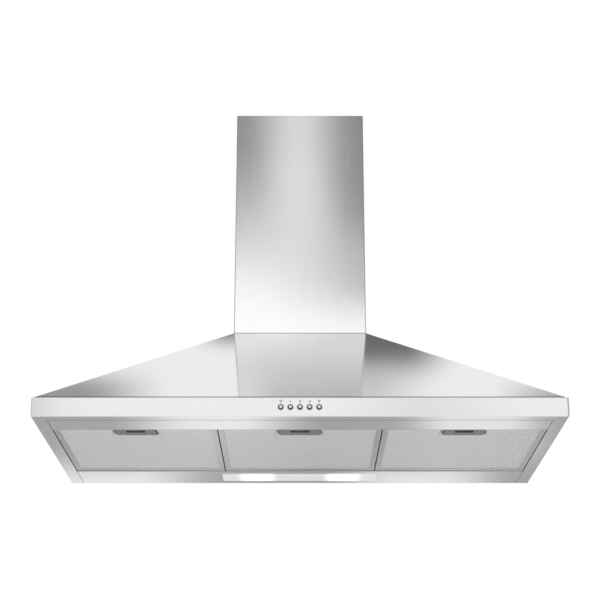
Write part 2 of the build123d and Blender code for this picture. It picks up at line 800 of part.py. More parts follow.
with BuildPart() as motor_bracket:
    with BuildSketch(Plane.YZ.offset(scroll_side)):
        with Locations((blower_y, blower_z)):
            Circle(BRACKET_RING_OUTER)
            Circle(BRACKET_RING_INNER, mode=Mode.SUBTRACT)
            Circle(BRACKET_DISC)
            with PolarLocations(0, BRACKET_ARMS):
                Rectangle(BRACKET_RING_INNER + ARM_OVERLAP, BRACKET_ARM, align=(Align.MIN, Align.CENTER))
    extrude(amount=BRACKET_THICKNESS)
save(motor_bracket, "motor_bracket")

with BuildPart() as inlet_guard:
    with BuildSketch(Plane.YZ.offset(-scroll_side)):
        with Locations((blower_y, blower_z)):
            Circle(BRACKET_RING_OUTER)
            Circle(BRACKET_RING_INNER, mode=Mode.SUBTRACT)
            for ring in GUARD_RINGS:
                Circle(ring)
                Circle(ring - GUARD_BAR, mode=Mode.SUBTRACT)
            with PolarLocations(0, GUARD_SPOKES):
                Rectangle(BRACKET_RING_INNER + ARM_OVERLAP, GUARD_BAR, align=(Align.MIN, Align.CENTER))
    extrude(amount=-BRACKET_THICKNESS)
save(inlet_guard, "inlet_guard")


# ---- outlet collar: rectangular flange lofted to a round spigot ----
spigot_radius = DUCT_RADIUS - DUCT_GAP
outlet_width = 2 * SCROLL_HALF_WIDTH
outlet_depth = outlet_rear - outlet_front

with BuildPart() as outlet_collar:
    with BuildSketch(Plane.XY.offset(outlet_top)):
        with Locations((0, outlet_y)):
            RectangleRounded(
                outlet_width + 2 * SCROLL_WALL, outlet_depth + 2 * SCROLL_WALL, COLLAR_CORNER
            )
    with BuildSketch(Plane.XY.offset(collar_base)):
        with Locations((0, outlet_y)):
            Circle(spigot_radius)
    loft()
    with BuildSketch(Plane.XY.offset(outlet_top)):
        with Locations((0, outlet_y)):
            RectangleRounded(
                outlet_width + 2 * COLLAR_FLANGE, outlet_depth + 2 * COLLAR_FLANGE, COLLAR_CORNER
            )
    extrude(amount=SCROLL_WALL)
    with BuildSketch(Plane.XY.offset(collar_base)):
        with Locations((0, outlet_y)):
            Circle(spigot_radius)
    extrude(amount=COLLAR_SPIGOT)
    with BuildSketch(Plane.XY.offset(outlet_top)):
        with Locations((0, outlet_y)):
            RectangleRounded(outlet_width, outlet_depth, COLLAR_CORNER - SCROLL_WALL)
    with BuildSketch(Plane.XY.offset(collar_base)):
        with Locations((0, outlet_y)):
            Circle(spigot_radius - COLLAR_WALL)
    loft(mode=Mode.SUBTRACT)
    with BuildSketch(Plane.XY.offset(collar_base)):
        with Locations((0, outlet_y)):
            Circle(spigot_radius - COLLAR_WALL)
    extrude(amount=COLLAR_SPIGOT, mode=Mode.SUBTRACT)
    with BuildSketch(Plane.XZ.offset(-outlet_y)):
        with Locations((0, flap_z)):
            Circle(FLAP_PIN_RADIUS)
    extrude(amount=DUCT_RADIUS, both=True, mode=Mode.SUBTRACT)
save(outlet_collar, "outlet_collar")

with BuildPart() as flap_pin:
    with BuildSketch(Plane.XZ.offset(-outlet_y)):
        with Locations((0, flap_z)):
            Circle(FLAP_PIN_RADIUS)
    extrude(amount=spigot_radius, both=True)
save(flap_pin, "flap_pin")

flap_radius = spigot_radius - COLLAR_WALL - FLAP_GAP
hinge_gap = KNUCKLE_RADIUS + KNUCKLE_CLEARANCE

for first_knuckle, (side_label, sign) in enumerate((("left", -1), ("right", 1))):
    with BuildPart() as flap:
        with BuildSketch(Plane.XY.offset(flap_z - FLAP_THICKNESS / 2)):
            with Locations((0, outlet_y)):
                Circle(flap_radius)
                with Locations((sign * hinge_gap, 0)):
                    Rectangle(
                        2 * flap_radius,
                        2 * flap_radius,
                        align=(Align.MAX if sign > 0 else Align.MIN, Align.CENTER),
                        mode=Mode.SUBTRACT,
                    )
        extrude(amount=FLAP_THICKNESS)
        for place in range(first_knuckle, KNUCKLE_COUNT, 2):
            knuckle_y = outlet_y + (place - (KNUCKLE_COUNT - 1) / 2) * KNUCKLE_PITCH
            with Locations((sign * hinge_gap / 2, knuckle_y, flap_z)):
                Box(hinge_gap + SHEET, KNUCKLE_PITCH - KNUCKLE_GAP, FLAP_THICKNESS)
            with BuildSketch(Plane.XZ.offset(-knuckle_y)):
                with Locations((0, flap_z)):
                    Circle(KNUCKLE_RADIUS)
            extrude(amount=(KNUCKLE_PITCH - KNUCKLE_GAP) / 2, both=True)
        with BuildSketch(Plane.XZ.offset(-outlet_y)):
            with Locations((0, flap_z)):
                Circle(FLAP_PIN_RADIUS + FLAP_PIN_GAP)
        extrude(amount=DUCT_RADIUS, both=True, mode=Mode.SUBTRACT)
    save(flap, f"flap_{side_label}")


# ---- electrical box on the back panel, with its terminals, gland and capacitor ----
box_front = back_face - BOX_DEPTH
box_top = BOX_BASE + BOX_HEIGHT
box_right = BOX_X + BOX_WIDTH / 2

with BuildPart() as electrical_box:
    with Locations((BOX_X, back_face, BOX_BASE)):
        Box(BOX_WIDTH, BOX_DEPTH, BOX_HEIGHT, align=(Align.CENTER, Align.MAX, Align.MIN))
    fillet(electrical_box.edges().filter_by(Axis.Y), LID_RIM)
    offset(
        amount=-BOX_WALL,
        openings=electrical_box.faces().sort_by(Axis.Y)[0],
        kind=Kind.INTERSECTION,
    )
    with BuildSketch(Plane.XY.offset(box_top)):
        with Locations((BOX_X, back_face - BOX_DEPTH / 2)):
            Circle(GLAND_BORE)
    extrude(amount=-2 * BOX_WALL, mode=Mode.SUBTRACT)
save(electrical_box, "electrical_box")

with BuildPart() as box_lid:
    with Locations((BOX_X, box_front, BOX_BASE + BOX_HEIGHT / 2)):
        Box(
            BOX_WIDTH + 2 * BOX_WALL,
            LID_THICKNESS,
            BOX_HEIGHT + 2 * BOX_WALL,
            align=(Align.CENTER, Align.MAX, Align.CENTER),
        )
    fillet(box_lid.edges().filter_by(Axis.Y), LID_RIM)
save(box_lid, "box_lid")

with BuildPart() as terminal_block:
    with Locations((BOX_X, back_face - BOX_WALL, BOX_BASE + BOX_HEIGHT / 2)):
        Box(
            TERMINAL_LENGTH,
            TERMINAL_DEPTH,
            TERMINAL_HEIGHT,
            align=(Align.CENTER, Align.MAX, Align.CENTER),
        )
    with BuildSketch(Plane.XZ.offset(-back_face + BOX_WALL + TERMINAL_DEPTH)):
        with Locations((BOX_X, BOX_BASE + BOX_HEIGHT / 2)):
            with GridLocations(TERMINAL_LENGTH / TERMINAL_POLES, 0, TERMINAL_POLES, 1):
                Circle(TERMINAL_HOLE_RADIUS)
    extrude(amount=-TERMINAL_DEPTH / 2, mode=Mode.SUBTRACT)
save(terminal_block, "terminal_block")

with BuildPart() as cable_gland:
    with BuildSketch(Plane.XY.offset(box_top)):
        with Locations((BOX_X, back_face - BOX_DEPTH / 2)):
            RegularPolygon(GLAND_RADIUS, 6)
    extrude(amount=GLAND_HEIGHT / 2)
    with BuildSketch(Plane.XY.offset(box_top)):
        with Locations((BOX_X, back_face - BOX_DEPTH / 2)):
            Circle(GLAND_NECK)
    extrude(amount=GLAND_HEIGHT)
    with BuildSketch(Plane.XY.offset(box_top)):
        with Locations((BOX_X, back_face - BOX_DEPTH / 2)):
            Circle(GLAND_BORE)
    extrude(amount=GLAND_HEIGHT, mode=Mode.SUBTRACT)
save(cable_gland, "cable_gland")

with BuildPart() as capacitor:
    with BuildSketch(Plane.YZ.offset(box_right)):
        with Locations((back_face - BOX_DEPTH / 2, BOX_BASE + BOX_HEIGHT / 2)):
            Circle(CAPACITOR_RADIUS)
    extrude(amount=CAPACITOR_LENGTH)
    chamfer(capacitor.edges().filter_by(GeomType.CIRCLE), CAPACITOR_EDGE)
save(capacitor, "capacitor")


# ---- chimney covers: the outer one stands on the canopy, the inner one slides up out of it ----
with BuildPart() as lower_chimney:
    with BuildSketch(Plane.XY.offset(canopy_top)):
        with BuildLine():
            FilletPolyline(
                (-chimney_side + COVER_RETURN, 0),
                (-chimney_side, 0),
                (-chimney_side, -CHIMNEY_DEPTH),
                (chimney_side, -CHIMNEY_DEPTH),
                (chimney_side, 0),
                (chimney_side - COVER_RETURN, 0),
                radius=BEND_RADIUS,
            )
            offset(amount=SHEET, side=Side.LEFT)
        make_face()
    extrude(amount=CHIMNEY_HEIGHT)
    with BuildSketch(Plane.YZ):
        with Locations((-COVER_SCREW_SETBACK, chimney_top - BRACKET_DROP)):
            Circle(COVER_SCREW_RADIUS)
    extrude(amount=CHIMNEY_WIDTH, both=True, mode=Mode.SUBTRACT)
save(lower_chimney, "lower_chimney")

upper_side = chimney_side - SHEET - UPPER_SIDE_GAP
upper_front = -CHIMNEY_DEPTH + SHEET + UPPER_SIDE_GAP
upper_base = canopy_top + SEAT_GAP

with BuildPart() as upper_chimney:
    with BuildSketch(Plane.XY.offset(upper_base)):
        with BuildLine():
            FilletPolyline(
                (-upper_side + UPPER_RETURN, -UPPER_REAR_GAP),
                (-upper_side, -UPPER_REAR_GAP),
                (-upper_side, upper_front),
                (upper_side, upper_front),
                (upper_side, -UPPER_REAR_GAP),
                (upper_side - UPPER_RETURN, -UPPER_REAR_GAP),
                radius=BEND_RADIUS,
            )
            offset(amount=SHEET, side=Side.LEFT)
        make_face()
    extrude(amount=chimney_top - UPPER_TOP_GAP - upper_base)
    with BuildSketch(Plane.YZ):
        with Locations((-CHIMNEY_DEPTH / 2, chimney_top - SLOT_DROP - SLOT_PITCH * SLOT_COUNT / 2)):
            with GridLocations(0, SLOT_PITCH, 1, SLOT_COUNT):
                SlotOverall(SLOT_LENGTH, SLOT_WIDTH)
    extrude(amount=CHIMNEY_WIDTH, both=True, mode=Mode.SUBTRACT)
save(upper_chimney, "upper_chimney")

ear_side = chimney_side - SHEET
bracket_inset = upper_side - UPPER_RETURN - BRACKET_GAP
with BuildPart() as chimney_bracket:
    with BuildSketch(Plane.XY.offset(chimney_top - BRACKET_DROP - BRACKET_HEIGHT / 2)):
        with BuildLine():
            Polyline(
                (-ear_side, -BRACKET_EAR),
                (-ear_side, -BRACKET_STEP),
                (-bracket_inset, -BRACKET_STEP),
                (-bracket_inset, 0),
                (bracket_inset, 0),
                (bracket_inset, -BRACKET_STEP),
                (ear_side, -BRACKET_STEP),
                (ear_side, -BRACKET_EAR),
            )
            offset(amount=BRACKET_SHEET, side=Side.RIGHT, kind=Kind.INTERSECTION)
        make_face()
    extrude(amount=BRACKET_HEIGHT)
    with BuildSketch(Plane.XZ):
        with Locations((0, chimney_top - BRACKET_DROP)):
            with GridLocations(BRACKET_HOLE_SPACING, 0, 2, 1):
                Circle(BRACKET_HOLE_RADIUS)
    extrude(amount=BRACKET_STEP, mode=Mode.SUBTRACT)
    with BuildSketch(Plane.YZ):
        with Locations((-COVER_SCREW_SETBACK, chimney_top - BRACKET_DROP)):
            Circle(COVER_SCREW_RADIUS)
    extrude(amount=CHIMNEY_WIDTH, both=True, mode=Mode.SUBTRACT)
save(chimney_bracket, "chimney_bracket")

with BuildPart() as chimney_screws:
    with BuildSketch(Plane.YZ.offset(chimney_side)):
        with Locations((-COVER_SCREW_SETBACK, chimney_top - BRACKET_DROP)):
            Circle(COVER_SCREW_HEAD)
    extrude(amount=COVER_SCREW_RADIUS)
    head_edge = chimney_screws.edges().filter_by(GeomType.CIRCLE).sort_by(Axis.X)[-1]
    chamfer(head_edge, COVER_SCREW_EDGE)
    with BuildSketch(Plane.YZ.offset(chimney_side)):
        with Locations((-COVER_SCREW_SETBACK, chimney_top - BRACKET_DROP)):
            Circle(COVER_SCREW_RADIUS)
    extrude(amount=-SHEET - BRACKET_SHEET)
    mirror(about=Plane.YZ)
save(chimney_screws, "chimney_screws")


# ---- grease filters: frame, pleated mesh, handle and sliding latch ----
pleats = round((filter_width - 2 * FRAME_WALL) / PLEAT_PITCH)
mesh_side = filter_width / 2 - FRAME_WALL - SEAT_GAP
mesh_bottom = filter_bottom + FRAME_WALL + SEAT_GAP
mesh_top = filter_bottom + FILTER_THICKNESS - FRAME_WALL - SEAT_GAP
pleat_height = mesh_top - mesh_bottom - PLEAT_SKIN
handle_front = filter_front + FRAME_WALL
filter_y = (filter_front + filter_rear) / 2


def pleat_points(x):
    """Corners of the pleated sheet of the filter at x, out along its lower skin and back."""
    half_pleat = mesh_side / pleats
    lower = [
        (x - mesh_side + step * half_pleat, mesh_bottom + (step % 2) * pleat_height)
        for step in range(2 * pleats + 1)
    ]
    upper = [(px, pz + PLEAT_SKIN) for px, pz in reversed(lower)]
    return lower + upper


for side_label, x in filter_places:
    with BuildPart() as filter_frame:
        with BuildSketch(Plane.XY.offset(filter_bottom)):
            with Locations((x, filter_y)):
                Rectangle(filter_width, filter_length)
        extrude(amount=FILTER_THICKNESS)
        with BuildSketch(Plane.XY.offset(filter_bottom + FRAME_WALL)):
            with Locations((x, filter_y)):
                Rectangle(filter_width - 2 * FRAME_WALL, filter_length - 2 * FRAME_WALL)
        extrude(amount=FILTER_THICKNESS - 2 * FRAME_WALL, mode=Mode.SUBTRACT)
        with BuildSketch(Plane.XY.offset(filter_bottom)):
            with Locations((x, filter_front + FILTER_FRONT_LIP)):
                Rectangle(
                    filter_width - 2 * FILTER_SIDE_LIP,
                    filter_length - FILTER_FRONT_LIP - FILTER_REAR_LIP,
                    align=(Align.CENTER, Align.MIN),
                )
            with Locations((x, handle_front)):
                Rectangle(
                    HANDLE_WIDTH + 2 * HANDLE_GAP, FILTER_FRONT_LIP, align=(Align.CENTER, Align.MIN)
                )
        extrude(amount=FILTER_THICKNESS, mode=Mode.SUBTRACT)
        with Locations((x, filter_front, latch_z)):
            Box(
                TONGUE_WIDTH + 2 * LATCH_GAP,
                2 * FRAME_WALL,
                LATCH_THICKNESS + 2 * LATCH_GAP,
                align=(Align.CENTER, Align.CENTER, Align.MIN),
                mode=Mode.SUBTRACT,
            )
    save(filter_frame, f"filter_frame_{side_label}")

    with BuildPart() as filter_mesh:
        with BuildSketch(Plane.XZ.offset(-filter_rear + FRAME_WALL + SEAT_GAP)):
            with BuildLine():
                Polyline(*pleat_points(x), close=True)
            make_face()
        extrude(amount=filter_length - 2 * (FRAME_WALL + SEAT_GAP))
        with Locations((x, filter_front, filter_bottom)):
            Box(
                HANDLE_WIDTH + 2 * HANDLE_GAP,
                FRAME_WALL + HANDLE_DEPTH + HANDLE_GAP,
                FILTER_THICKNESS,
                align=(Align.CENTER, Align.MIN, Align.MIN),
                mode=Mode.SUBTRACT,
            )
    save(filter_mesh, f"filter_mesh_{side_label}")

    with BuildPart() as filter_handle:
        with BuildSketch(Plane.XY.offset(filter_bottom)) as handle_plan:
            with Locations((x, handle_front)):
                Rectangle(HANDLE_WIDTH, HANDLE_DEPTH, align=(Align.CENTER, Align.MIN))
            fillet(handle_plan.vertices().group_by(Axis.Y)[-1], HANDLE_CORNER)
        extrude(amount=HANDLE_HEIGHT)
        with Locations((x, handle_front, latch_z)):
            Box(
                LATCH_WIDTH + 2 * LATCH_GAP,
                2 * (LATCH_LENGTH + LATCH_TRAVEL + 2 * LATCH_GAP),
                LATCH_THICKNESS + 2 * LATCH_GAP,
                align=(Align.CENTER, Align.CENTER, Align.MIN),
                mode=Mode.SUBTRACT,
            )
        with Locations((x, handle_front + POCKET_SETBACK, filter_bottom)):
            Box(
                POCKET_WIDTH,
                POCKET_DEPTH,
                LATCH_FLOOR,
                align=(Align.CENTER, Align.MIN, Align.MIN),
                mode=Mode.SUBTRACT,
            )
    save(filter_handle, f"filter_handle_{side_label}")

    with BuildPart() as filter_latch:
        with Locations((x, filter_front, latch_z + LATCH_GAP)):
            Box(
                TONGUE_WIDTH,
                LATCH_LENGTH,
                LATCH_THICKNESS,
                align=(Align.CENTER, Align.MIN, Align.MIN),
            )
        nose = filter_latch.edges().filter_by(Axis.X).group_by(Axis.Y)[0].sort_by(Axis.Z)[0]
        chamfer(nose, FRAME_WALL)
        with Locations((x, handle_front + LATCH_GAP, latch_z + LATCH_GAP)):
            Box(
                LATCH_WIDTH,
                LATCH_LENGTH,
                LATCH_THICKNESS,
                align=(Align.CENTER, Align.MIN, Align.MIN),
            )
        with Locations((x, handle_front + POCKET_SETBACK + FRAME_WALL, latch_z + LATCH_GAP)):
            Box(
                LATCH_WIDTH - 2 * FRAME_WALL,
                FINGER_TAB,
                FINGER_TAB,
                align=(Align.CENTER, Align.MIN, Align.MAX),
            )
    save(filter_latch, f"filter_latch_{side_label}")
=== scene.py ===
import json
import math
import bmesh
import bpy
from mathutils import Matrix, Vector


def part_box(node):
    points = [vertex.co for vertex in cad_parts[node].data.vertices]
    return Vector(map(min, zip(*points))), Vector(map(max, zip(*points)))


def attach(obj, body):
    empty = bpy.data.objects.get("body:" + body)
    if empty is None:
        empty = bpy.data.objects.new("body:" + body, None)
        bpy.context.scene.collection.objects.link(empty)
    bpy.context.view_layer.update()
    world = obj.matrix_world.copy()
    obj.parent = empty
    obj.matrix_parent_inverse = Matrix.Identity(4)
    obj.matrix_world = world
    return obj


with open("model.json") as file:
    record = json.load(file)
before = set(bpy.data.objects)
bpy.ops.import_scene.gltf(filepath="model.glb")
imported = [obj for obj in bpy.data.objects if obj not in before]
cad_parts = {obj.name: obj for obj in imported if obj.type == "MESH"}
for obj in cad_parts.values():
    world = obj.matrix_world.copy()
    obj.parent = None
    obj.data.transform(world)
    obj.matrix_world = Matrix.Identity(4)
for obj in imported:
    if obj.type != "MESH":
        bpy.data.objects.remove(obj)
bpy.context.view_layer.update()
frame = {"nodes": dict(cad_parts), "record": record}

# Chimney range hood: finishes, printed legends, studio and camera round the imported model.
# Lengths are in metres in the model's frame: X to the right, the wall at y = 0, +Z up.

# ---- camera, fitted to the photograph ----
CAMERA_PLACE = (0.0, -2.9774, -0.6749)
CAMERA_PITCH = 19.573
CAMERA_LENS = 92.08
SENSOR = 36.0

# ---- studio ----
FLOOR_Z = -3.40
FLOOR_SIZE = 160.0
FLOOR_LIFT = 0.42
FLOOR_COLOUR = (0.86, 0.86, 0.86)
FLOOR_MOTTLE = 0.985
WORLD_DIFFUSE = 0.62
KEY_POWER = 34.0
KEY_PLACE = (-1.6, -2.2, 1.9)
KEY_SIZE = 1.6
KEY_AIM = (0.0, -0.2, 0.2)
FILL_POWER = 16.0
FILL_PLACE = (1.9, -1.8, 0.7)
FILL_SIZE = 1.4
FILL_AIM = (0.0, -0.2, 0.2)
UNDER_POWER = 14.0
UNDER_PLACE = (-0.4, -1.6, -1.3)
UNDER_SIZE = 1.2
UNDER_AIM = (0.0, -0.25, 0.0)

# ---- cards that shape the reflections, in x and z: each is whole out to its inner half size and
# fades to nothing at its outer one ----
# name, y, centre, inner half size, outer half size, level (0 is black, 1 is white)
FLAGS = (
    ("front_foot", -1.45, (0.0, 0.63), (0.6, 0.10), (0.9, 0.34), 1.27),
    ("front_dark", -1.40, (0.0, 1.32), (0.6, 0.10), (0.9, 0.70), 0.32),
    ("front_right", -1.35, (0.42, 1.36), (0.18, 0.40), (0.42, 0.80), 0.27),
    ("foot_right", -1.34, (0.36, 0.74), (0.12, 0.04), (0.50, 0.13), 0.58),
    ("front_strip", -1.30, (-0.005, 1.10), (0.02, 0.20), (0.13, 0.50), 0.95),
    ("top_grey", -1.42, (0.0, 3.00), (0.5, 0.55), (0.8, 0.75), 0.67),
    ("top_left", -1.41, (-0.26, 2.95), (0.05, 0.20), (0.19, 0.45), 1.20),
    ("top_bright", -1.40, (0.04, 2.25), (0.5, 0.04), (0.8, 0.23), 1.48),
    ("low_bright", -1.40, (0.0, 0.10), (0.75, 0.22), (0.95, 0.35), 1.07),
    ("low_right", -1.38, (0.28, 0.10), (0.02, 0.22), (0.21, 0.35), 0.90),
    ("low_left", -1.38, (-0.72, 0.10), (0.06, 0.22), (0.17, 0.35), 0.55),
    ("wall_right", 0.03, (0.17, 0.76), (0.07, 0.08), (0.22, 0.27), 0.16),
    ("wall_right_low", 0.035, (0.12, 1.06), (0.04, 0.06), (0.22, 0.14), 0.68),
    ("wall_left", 0.03, (-0.13, 0.68), (0.03, 0.06), (0.13, 0.18), 0.15),
    ("wall_corner_left", 0.04, (-0.75, 1.20), (0.20, 0.14), (0.46, 0.28), 0.34),
    ("wall_corner_right", 0.04, (0.80, 1.20), (0.16, 0.12), (0.35, 0.22), 0.42),
    ("under_dark", 0.36, (0.0, -0.20), (0.75, 0.20), (1.1, 0.45), 0.42),
    ("under_front_left", 0.35, (-0.19, -0.24), (0.04, 0.05), (0.25, 0.11), 1.10),
    ("under_front_right", 0.35, (0.40, -0.24), (0.05, 0.05), (0.20, 0.11), 1.05),
    ("under_rear_left", 0.35, (-0.42, -0.07), (0.05, 0.03), (0.26, 0.08), 1.0),
    ("under_rear_right", 0.35, (0.26, -0.07), (0.05, 0.03), (0.22, 0.08), 1.0),
)

# ---- sheet steel ----
STEEL = (0.80, 0.80, 0.797)
STEEL_SHADE = (0.77, 0.77, 0.768)
# lighter colour on sharp edges: partly wear, partly painted highlight
STEEL_WORN_EDGE_HIGHLIGHT = (0.90, 0.90, 0.90)
STEEL_ROUGHNESS = (0.16, 0.21)
COVER_ROUGHNESS = (0.12, 0.16)
# painted light: the canopy front gets a lighter copy of the same sheet steel
LIT_CANOPY_STEEL = (0.840, 0.840, 0.837)
LIT_CANOPY_STEEL_SHADE = (0.809, 0.809, 0.806)
CANOPY_ROUGHNESS = (0.07, 0.10)
GRAIN_ALONG = 8.0
GRAIN_ACROSS = 1600.0
GRAIN_DEPTH = 0.000006
# lines of painted shade along joins: where the front strip's join lies, and the share of a line's
# half width that is fully dark
STRIP_SEAM_Y = -0.4765
SEAM_CORE = 0.4

# ---- edges, lightened as wear and painted highlight, and painted shade in gaps ----
EDGE_RADIUS = 0.0004
FINE_EDGE_RADIUS = 0.0002
# painted shade in narrow gaps: its reach, and the share of colour it keeps
CREVICE = 0.004
CREVICE_SHADE_KEEPS = 0.15
# painted shade in the handle's pocket: its reach, and the share of colour it keeps
HANDLE_RECESS = 0.012
HANDLE_RECESS_SHADE_KEEPS = 0.3

# ---- filters and moulded plastic ----
FRAME_ALUMINIUM = (0.59, 0.59, 0.59)
FRAME_ALUMINIUM_SHADE = (0.53, 0.53, 0.53)
FRAME_ROUGHNESS = (0.26, 0.38)
SPARK_SCALE = 1400.0
SPARK_DEPTH = 0.00003

# ---- outer sheet of the filter mesh: long diamonds between two families of strands ----
# each family's lean to the depth, strand width, and drop below the pleats
STRAND_PITCH = 0.0036
STRAND_SLANT = 0.25
STRAND_THICKNESS = 0.00013
STRAND_FAMILIES = ((1, 0.0022, 0.00028), (-1, 0.0022, 0.00014))

# ---- lamp glow in the lens, as shares of a lamp's place and half length, then its strengths ----
GLOW_INWARD = 0.88
GLOW_CORE = 0.10
GLOW_REACH = 0.95
GLOW_LEAST = 0.12
GLOW_MOST = 0.85

# ---- printed legends ----
LEGEND_HEIGHT = 0.0046
LEGEND_STROKE = 0.0010
LEGEND_Z = 0.0261
LEGEND_PROUD = 0.0001
ARC_STEPS = 20

# ---- the object's box, before anything is added ----
LEGEND_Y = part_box("rim_front")[0].y - LEGEND_PROUD


class Surface:
    """A material whose colour, roughness and relief come from procedural nodes."""

    def __init__(self, name, metallic=0.0, **sockets):
        self.material = bpy.data.materials.new(name)
        self.material.use_nodes = True
        self.tree = self.material.node_tree
        self.shader = self.tree.nodes["Principled BSDF"]
        self.shader.inputs["Metallic"].default_value = metallic
        for socket, value in sockets.items():
            self.shader.inputs[socket.replace("_", " ")].default_value = value
        self.place = self.node("ShaderNodeTexCoord").outputs["Object"]

    def node(self, kind, links=None, values=None, **settings):
        """Add a node, set its options and socket values, and link sockets into it."""
        made = self.tree.nodes.new(kind)
        for option, value in settings.items():
            setattr(made, option, value)
        for socket, value in (values or {}).items():
            made.inputs[socket].default_value = value
        for socket, source in (links or {}).items():
            self.tree.links.new(source, made.inputs[socket])
        return made

    def noise(self, scale, detail=3.0, roughness=0.55, stretch=(1.0, 1.0, 1.0)):
        """Noise in real metres, finer along the axes with the larger stretch."""
        mapped = self.node("ShaderNodeMapping", {"Vector": self.place}, {"Scale": stretch})
        texture = self.node(
            "ShaderNodeTexNoise",
            {"Vector": mapped.outputs["Vector"]},
            {"Scale": scale, "Detail": detail, "Roughness": roughness},
        )
        return texture.outputs["Fac"]

    def remap(self, source, low, high, start=0.3, end=0.7, smooth=True):
        """Spread a factor between two values."""
        ranged = self.node(
            "ShaderNodeMapRange",
            {"Value": source},
            {"From Min": start, "From Max": end, "To Min": low, "To Max": high},
            interpolation_type="SMOOTHSTEP" if smooth else "LINEAR",
        )
        return ranged.outputs["Result"]

    def blend(self, factor, first, second):
        """Colour that runs from first to second with the factor."""
        mixed = self.node("ShaderNodeMix", {"Factor": factor}, data_type="RGBA")
        for socket, colour in ((6, first), (7, second)):
            if isinstance(colour, tuple):
                mixed.inputs[socket].default_value = (*colour, 1.0)
            else:
                self.tree.links.new(colour, mixed.inputs[socket])
        return mixed.outputs[2]

    def math(self, operation, first, second):
        """One arithmetic step between a socket and a socket or a number."""
        made = self.node("ShaderNodeMath", operation=operation)
        for index, value in enumerate((first, second)):
            if isinstance(value, (int, float)):
                made.inputs[index].default_value = value
            else:
                self.tree.links.new(value, made.inputs[index])
        return made.outputs[0]

    def edges(self, radius=EDGE_RADIUS):
        """Rounded normal of the sharp edges, and a mask that is 1 on them, with which the finishes
        lighten edges partly as wear and partly as painted highlight.
        """
        rounded = self.node("ShaderNodeBevel", values={"Radius": radius}, samples=4)
        flat = self.node("ShaderNodeNewGeometry").outputs["Normal"]
        turn = self.node("ShaderNodeVectorMath", operation="DOT_PRODUCT")
        self.tree.links.new(rounded.outputs["Normal"], turn.inputs[0])
        self.tree.links.new(flat, turn.inputs[1])
        mask = self.remap(turn.outputs["Value"], 1.0, 0.0, 0.80, 0.995)
        return rounded.outputs["Normal"], mask

    def crevice_shade(self, deep, reach=CREVICE):
        """Painted shade: a factor that falls to deep in gaps narrower than the reach and is 1 on open
        sheet, darkening the colour where shade falls.
        """
        shade = self.node("ShaderNodeAmbientOcclusion", values={"Distance": reach}, samples=6)
        return self.remap(shade.outputs["AO"], deep, 1.0, 0.25, 0.8)

    def darken(self, tone, factor):
        """Multiply a colour by a factor."""
        product = self.node("ShaderNodeVectorMath", operation="MULTIPLY")
        self.tree.links.new(tone, product.inputs[0])
        self.tree.links.new(factor, product.inputs[1])
        return product.outputs[0]

    def relief(self, height, depth, strength=1.0, normal=None):
        """Raise the surface by depth metres where height is 1."""
        bump = self.node(
            "ShaderNodeBump", {"Height": height}, {"Strength": strength, "Distance": depth}
        )
        if normal is not None:
            self.tree.links.new(normal, bump.inputs["Normal"])
        return bump.outputs["Normal"]

    def finish(self, colour=None, roughness=None, normal=None):
        """Link what was made to the shader."""
        for socket, source in (("Base Color", colour), ("Roughness", roughness), ("Normal", normal)):
            if source is not None:
                self.tree.links.new(source, self.shader.inputs[socket])
        return self.material


# ---- finishes ----
def brushed_steel(name, along, seam_shades=(), roughness=STEEL_ROUGHNESS, light=STEEL, shade=STEEL_SHADE):
    """Stainless sheet with its grain along one axis: streaks, faint cloudiness, edges lightened
    partly as wear and partly as painted highlight, painted shade in narrow gaps and along seam lines.

    Each seam shade is a line of painted shade: the axis across it, its place there, its half width
    and the share of light it keeps.
    """
    surface = Surface(name, metallic=1.0)
    stretch = [GRAIN_ACROSS] * 3
    stretch["XYZ".index(along)] = GRAIN_ALONG
    streaks = surface.noise(1.0, detail=5.0, roughness=0.65, stretch=tuple(stretch))
    clouds = surface.noise(5.0, detail=2.0)
    round_normal, edge = surface.edges()
    tone = surface.blend(surface.remap(streaks, 0.0, 1.0), shade, light)
    # edges lightened, partly as wear and partly as painted highlight
    tone = surface.blend(surface.math("MULTIPLY", edge, 0.4), tone, STEEL_WORN_EDGE_HIGHLIGHT)
    rough = surface.math(
        "ADD", surface.remap(streaks, *roughness), surface.remap(clouds, -0.015, 0.02)
    )
    rough = surface.math("ADD", rough, surface.math("MULTIPLY", edge, 0.08))
    # painted shade darkens the colour in narrow gaps and between parts
    tone = surface.darken(tone, surface.crevice_shade(CREVICE_SHADE_KEEPS))
    place = surface.node("ShaderNodeSeparateXYZ", {"Vector": surface.place})
    # lines of painted shade along joins and corners
    for axis, at, half_width, kept in seam_shades:
        away = surface.math("ABSOLUTE", surface.math("SUBTRACT", place.outputs[axis], at), 0.0)
        core = SEAM_CORE * half_width
        tone = surface.darken(tone, surface.remap(away, kept, 1.0, core, half_width))
    return surface.finish(tone, rough, surface.relief(streaks, GRAIN_DEPTH, 0.5, round_normal))


def galvanised(name):
    """Zinc-coated sheet with its flat crystals."""
    surface = Surface(name, metallic=1.0)
    cells = surface.node(
        "ShaderNodeTexVoronoi", {"Vector": surface.place}, {"Scale": 240.0}, feature="F1"
    )
    split = surface.node("ShaderNodeSeparateColor", {"Color": cells.outputs["Color"]})
    crystal = split.outputs["Red"]
    stains = surface.noise(14.0, detail=4.0)
    tone = surface.blend(crystal, (0.56, 0.57, 0.58), (0.64, 0.65, 0.66))
    tone = surface.blend(surface.remap(stains, 0.0, 0.18), tone, (0.46, 0.47, 0.48))
    rough = surface.math(
        "ADD", surface.remap(crystal, 0.38, 0.48, 0.0, 1.0), surface.remap(stains, 0.0, 0.04)
    )
    round_normal, _ = surface.edges()
    return surface.finish(tone, rough, surface.relief(stains, 0.00003, 0.4, round_normal))


